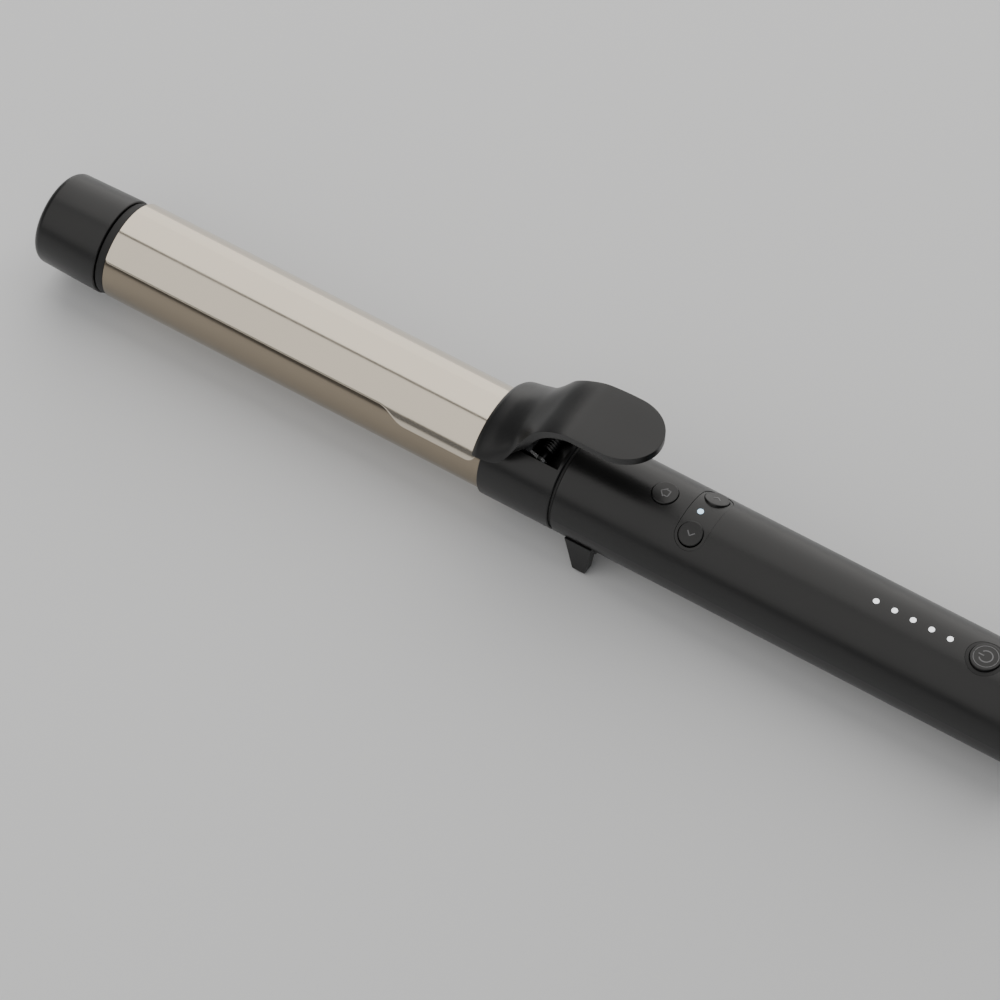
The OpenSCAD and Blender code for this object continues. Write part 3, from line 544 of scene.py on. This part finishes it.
# along, height of the middle, half width, drop to the edge, share of arc (mm, from the seam)
LEVER_SECTIONS = (
    (LEVER_FRONT, 20.7, 16.5, 9.3, 1.0), (LEVER_FRONT + 1.2, 21.8, 17.2, 9.6, 1.0),
    (-26.0, 22.7, 17.5, 9.9, 1.0), (-22.8, 23.9, 17.4, 10.6, 1.0), (-19.3, 25.7, 16.7, 11.3, 1.0),
    (-16.5, 27.4, 15.2, 9.2, 0.8), (-13.6, 29.5, 13.7, 5.0, 0.45), (-10.2, 32.0, 12.5, 1.5, 0.1),
    (-6.8, 34.5, 12.0, 0.6, 0.0), (-2.3, 37.0, 11.9, 0.4, 0.0), (2.2, 38.6, 12.0, 0.3, 0.0),
    (7.0, 39.1, 12.2, 0.3, 0.0), (12.0, 39.3, 12.3, 0.3, 0.0), (17.0, 39.3, 12.3, 0.3, 0.0),
    (LEVER_END, 39.1, 12.3, 0.4, 0.0),
)


def lever_values(x):
    """The section's four numbers at a station, on a smooth curve through the rows above."""
    rows = LEVER_SECTIONS
    index = max(i for i in range(len(rows) - 1) if x >= rows[i][0] - 1e-6)
    before, here = rows[max(index - 1, 0)], rows[index]
    there, after = rows[index + 1], rows[min(index + 2, len(rows) - 1)]
    step = there[0] - here[0]
    t = (x - here[0]) / step
    values = []
    for column in range(1, len(here)):
        leave = (there[column] - before[column]) / (there[0] - before[0]) * step
        arrive = (after[column] - here[column]) / (after[0] - here[0]) * step
        values.append(
            (2 * t ** 3 - 3 * t ** 2 + 1) * here[column] + (t ** 3 - 2 * t ** 2 + t) * leave
            + (3 * t ** 2 - 2 * t ** 3) * there[column] + (t ** 3 - t ** 2) * arrive)
    return values


def lever_point(x, side):
    """A point of the lever's upper skin. side runs from -1 to 1 across it."""
    if x > OUTLINE_START:
        # The straight rows bend into the round end of the paddle.
        reach = (x - OUTLINE_START) / (LEVER_END - OUTLINE_START)
        x = OUTLINE_START + (x - OUTLINE_START) * math.sqrt(1 - side ** 2 / 2)
        side *= math.sqrt(1 - reach ** 2 / 2)
    height, half, drop, arc = lever_values(x)
    flat = Vector((x, half * side, height - drop * abs(side) ** 4))
    angle = math.atan2(half, height - drop) * side
    radius = height + (math.hypot(half, height - drop) - height) * abs(side) ** 3
    bent = Vector((x, radius * math.sin(angle), radius * math.cos(angle)))
    return flat.lerp(bent, min(max(arc, 0.0), 1.0))


# %% The loft of the lever
ROWS, COLUMNS = 84, 40
lever_bm = bmesh.new()
bmesh.ops.create_grid(lever_bm, x_segments=ROWS, y_segments=COLUMNS, size=1.0)
for vert in lever_bm.verts:
    along = (vert.co.x + 1) / 2
    point = lever_point(LEVER_FRONT + (LEVER_END - LEVER_FRONT) * along, vert.co.y)
    vert.co = place(*point)
lever = make_piece("thumb_lever_shaped", lever_bm, satin_black, "clamp", ["thumb_lever"])
if sum(polygon.normal.z for polygon in lever.data.polygons) < 0:
    lever.data.flip_normals()

# %% [markdown]
# The saddle is a little thinner than the paddle, so each point of the skin gets a share of
# the full thickness. The thickness goes downward, because the skin is the upper side.

# %% The thickness of the lever
LEVER_THICK = 3.0
SADDLE_SHARE = 0.8
SADDLE_END, GROWING = -24, 8  # where the skin starts to get thicker, and over what length
shares = lever.vertex_groups.new(name="share of thickness")
for vert in lever.data.vertices:
    x = (vert.co.x - SEAM_X) / MM
    share = SADDLE_SHARE + (1 - SADDLE_SHARE) * eased((x - SADDLE_END) / GROWING)
    shares.add([vert.index], share, "REPLACE")
wall = thicken(lever, LEVER_THICK, offset=-1, edge_width=0.9, edge_steps=4, edge_angle=50)
wall.vertex_group = shares.name

# %% [markdown]
# A push button is a short round cap in a slightly wider hole. What shows is a flat face, a
# rounded rim and the dark gap round it. Each cap is a short cylinder whose upper rim is
# bevelled, built at the top of the handle and then turned round the axis to its own angle.

# %% Helpers for things on the round handle


def onto_handle(bm, angle):
    """Takes a mesh in millimetres on top of the handle to its angle round it, and into the frame."""
    bmesh.ops.rotate(bm, verts=bm.verts, cent=(0, 0, 0), matrix=Matrix.Rotation(angle, 3, "X"))
    bmesh.ops.scale(bm, verts=bm.verts, vec=(MM, MM, MM))
    bmesh.ops.translate(bm, verts=bm.verts, vec=place(0, 0, 0))


def button_place(node):
    """Station, angle from the top toward the near side, and radius of a button, from its box."""
    low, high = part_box(node)
    middle = (low + high) / 2
    angle = math.atan2(-middle.y, middle.z - AXIS_Z)
    return (middle.x - SEAM_X) / MM, angle, (high.x - low.x) / 2 / MM


# %% The button caps
BUTTON_TOP = BODY_R + 0.3
FLANGE = 0.7
CAP_DEPTH = 3.6
CAP_RIM = 0.35
button_spots = {}
for node, body in (("home_button", "home_key"), ("arrow_button_near", "arrow_key_near"),
                   ("arrow_button_far", "arrow_key_far"), ("power_button", "power_key")):
    x, angle, flange_r = button_place(node)
    cap_r = flange_r - FLANGE
    cap = bmesh.new()
    bmesh.ops.create_cone(cap, cap_ends=True, segments=72, radius1=cap_r, radius2=cap_r,
                          depth=CAP_DEPTH, matrix=Matrix.Translation((x, 0, BUTTON_TOP - CAP_DEPTH / 2)))
    rim = [e for e in cap.edges if all(v.co.z > BUTTON_TOP - 0.1 for v in e.verts)]
    bmesh.ops.bevel(cap, geom=rim, offset=CAP_RIM, segments=4, profile=0.5, affect="EDGES", material=-1)
    onto_handle(cap, angle)
    make_piece(node + "_cap", cap, satin_black, body, [node])
    button_spots[node] = (x, angle, cap_r, body)
print("buttons at", {node: [round(v, 2) for v in spot[:3]] for node, spot in button_spots.items()})

# %% [markdown]
# The marks on the buttons are thin pad-printed signs that any maker uses: a house, two
# arrow heads and the power sign. Each is one flat outline, a face made from a few points,
# given a thin depth by extruding it, and laid on its button.

# %% Helpers for the marks
PRINT_DEPTH = 0.06


def flat_mark(name, outlines, spot):
    """A mark made of flat outlines. Points are (along, across) from the button's middle, in mm."""
    x, angle, _, body = spot
    mark = bmesh.new()
    for outline in outlines:
        ring = [mark.verts.new((x + px, py, BUTTON_TOP)) for px, py in outline]
        mark.faces.new(ring)
    raised = bmesh.ops.extrude_face_region(mark, geom=mark.faces[:])
    lifted = [item for item in raised["geom"] if isinstance(item, bmesh.types.BMVert)]
    bmesh.ops.translate(mark, verts=lifted, vec=(0, 0, PRINT_DEPTH))
    onto_handle(mark, angle)
    make_piece(name, mark, print_grey, body)


def arc_band(radius, width, start, end, steps=20):
    """The outline of a band along part of a circle."""
    angles = [math.radians(start + (end - start) * i / steps) for i in range(steps + 1)]
    outer, inner = ([(r * math.cos(a), r * math.sin(a)) for a in angles]
                    for r in (radius + width / 2, radius - width / 2))
    return outer + inner[::-1]


def bar(x0, y0, x1, y1, width):
    """The outline of a straight stroke between two points."""
    along = Vector((x1 - x0, y1 - y0)).normalized() * width / 2
    side = Vector((-along.y, along.x))
    return [(x0 - side.x, y0 - side.y), (x1 - side.x, y1 - side.y),
            (x1 + side.x, y1 + side.y), (x0 + side.x, y0 + side.y)]


# %% The marks on the buttons
STROKE = 0.32
POWER_STROKE, RING_STROKE = 0.38, 0.22
POWER_R, RING_MARK_R = 2.1, 3.9
house = [bar(*ends, STROKE) for ends in (
    (0.1, -1.7, -1.5, 0.0), (-1.5, 0.0, 0.1, 1.7), (0.0, -1.15, 1.4, -1.15),
    (0.0, 1.15, 1.4, 1.15), (1.4, -1.3, 1.4, 1.3))]
flat_mark("home_mark", house, button_spots["home_button"])
for node, way in (("arrow_button_near", -1), ("arrow_button_far", 1)):
    head = [bar(-1.3, -0.5 * way, 0.0, 0.8 * way, STROKE), bar(0.0, 0.8 * way, 1.3, -0.5 * way, STROKE)]
    flat_mark(node + "_mark", head, button_spots[node])
power = [arc_band(POWER_R, POWER_STROKE, 215, 505), bar(-0.7, 0, -2.6, 0, POWER_STROKE)]
flat_mark("power_mark", power, button_spots["power_button"])
power_ring = [arc_band(RING_MARK_R, RING_STROKE, start, start + 180, 30) for start in (0, 180)]
flat_mark("power_ring_mark", power_ring, button_spots["power_button"])
